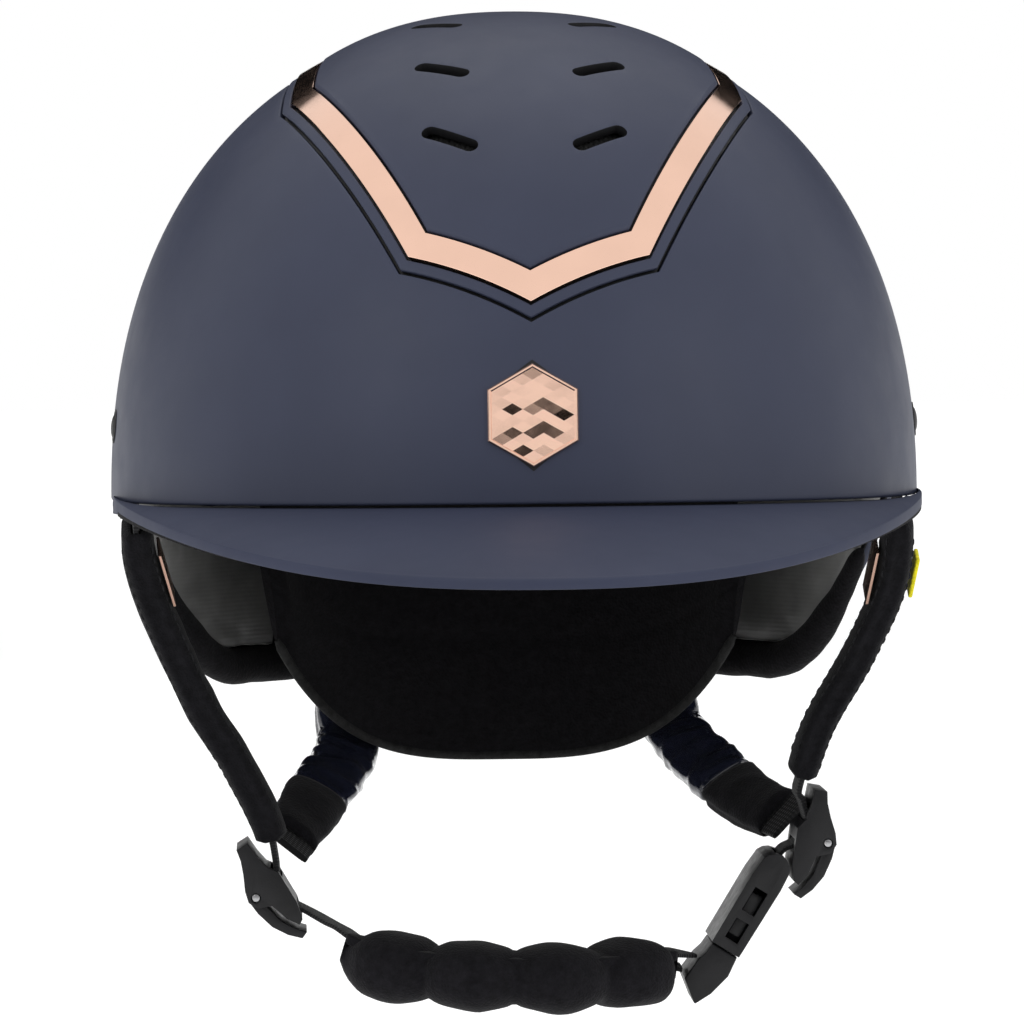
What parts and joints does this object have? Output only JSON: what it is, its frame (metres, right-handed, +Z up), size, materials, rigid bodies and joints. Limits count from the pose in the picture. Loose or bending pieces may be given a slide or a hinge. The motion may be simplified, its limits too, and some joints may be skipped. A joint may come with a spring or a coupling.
{
  "type": "riding helmet",
  "caption": "Riding helmet with a wide peak, a crown panel framed by a metallic strip, slot vents, padded lining, nape cradle and a buckled harness with a chin pad.",
  "frame": {"origin": "middle of the flat underside of the pad inside the crown, where the top of the head bears", "axes": "+Z up, the front and its peak towards -Y, the left side as seen from in front towards -X"},
  "size_m": [0.2126, 0.3145, 0.2629],
  "materials": {
    "shell": "matte navy coating with a soft sheen",
    "peak_shell": "matte navy coating, slightly lighter",
    "rose_metal": "polished rose gold plating",
    "plastic": "fine moulded black plastic",
    "mesh": "open black mesh",
    "foam": "black moulded bead foam",
    "fabric": "black brushed knit",
    "satin_lining": "warm grey satin",
    "piping": "grey edge binding",
    "webbing": "black woven webbing",
    "strap_cover": "black stitched padded cover",
    "patent": "glossy wrinkled navy patent",
    "label": "yellow folded tab",
    "steel": "dark steel pin"
  },
  "bodies": {
    "helmet": {"shell_main": "shell", "badge_plate": "rose_metal", "crown_panel": "shell", "trim_strip": "rose_metal", "bezel_ring": "shell", "panel_frame": "plastic", "vent_mesh": "mesh", "eps_liner": "foam", "headband": "fabric", "crown_pad": "fabric", "peak": "peak_shell", "peak_lining": "fabric", "side_panel_left": "satin_lining", "side_panel_right": "satin_lining", "rear_roll_left": "fabric", "rear_roll_right": "fabric", "nape_cradle": "fabric", "nape_binding": "piping", "nape_lace": "webbing", "front_rivet_left": "plastic", "front_rivet_right": "plastic", "rear_rivet_left": "plastic", "rear_rivet_right": "plastic", "front_strap_left": "webbing", "front_strap_right": "webbing", "front_sleeve_left": "strap_cover", "front_sleeve_right": "strap_cover", "anchor_plate_left": "rose_metal", "anchor_plate_right": "rose_metal", "size_label": "label", "rear_strap_left": "webbing", "rear_strap_right": "webbing", "rear_sleeve_left": "patent", "rear_sleeve_right": "patent", "rear_cuff_left": "strap_cover", "rear_cuff_right": "strap_cover", "divider_left": "plastic", "divider_right": "plastic", "lever_pin_left": "steel", "lever_pin_right": "steel", "buckle_female": "plastic", "web_tab_left": "webbing", "web_tab_right": "webbing"},
    "chin_strap": {"chin_webbing": "webbing", "webbing_tail": "webbing", "buckle_male": "plastic"},
    "chin_pad": {"chin_pad": "fabric"},
    "latch_front": {"buckle_latch_front": "plastic"},
    "latch_rear": {"buckle_latch_rear": "plastic"},
    "left_lever": {"divider_lever_left": "plastic"},
    "right_lever": {"divider_lever_right": "plastic"}
  },
  "joints": [
    {"name": "buckle_release", "type": "slide", "parent": "helmet", "child": "chin_strap", "axis": [-0.53, 0, -0.848], "range_m": [0, 0.02]},
    {"name": "chin_pad_slide", "type": "slide", "parent": "chin_strap", "child": "chin_pad", "axis": [1, 0, 0], "range_m": [-0.002, 0]},
    {"name": "front_latch_squeeze", "type": "hinge", "parent": "chin_strap", "child": "latch_front", "pos_m": [0.05563, 0.0028, -0.21475], "axis": [-0.848, 0, 0.53], "range_deg": [0, 8], "stiffness_Nm_per_rad": 0.02},
    {"name": "rear_latch_squeeze", "type": "hinge", "parent": "chin_strap", "child": "latch_rear", "pos_m": [0.05563, 0.0172, -0.21475], "axis": [0.848, 0, -0.53], "range_deg": [0, 8], "stiffness_Nm_per_rad": 0.02},
    {"name": "left_lever_hinge", "type": "hinge", "parent": "helmet", "child": "left_lever", "pos_m": [-0.06892, 0.01, -0.20039], "axis": [0, 1, 0], "range_deg": [0, 80]},
    {"name": "right_lever_hinge", "type": "hinge", "parent": "helmet", "child": "right_lever", "pos_m": [0.0828, 0.01, -0.18774], "axis": [0, -1, 0], "range_deg": [0, 80]}
  ]
}
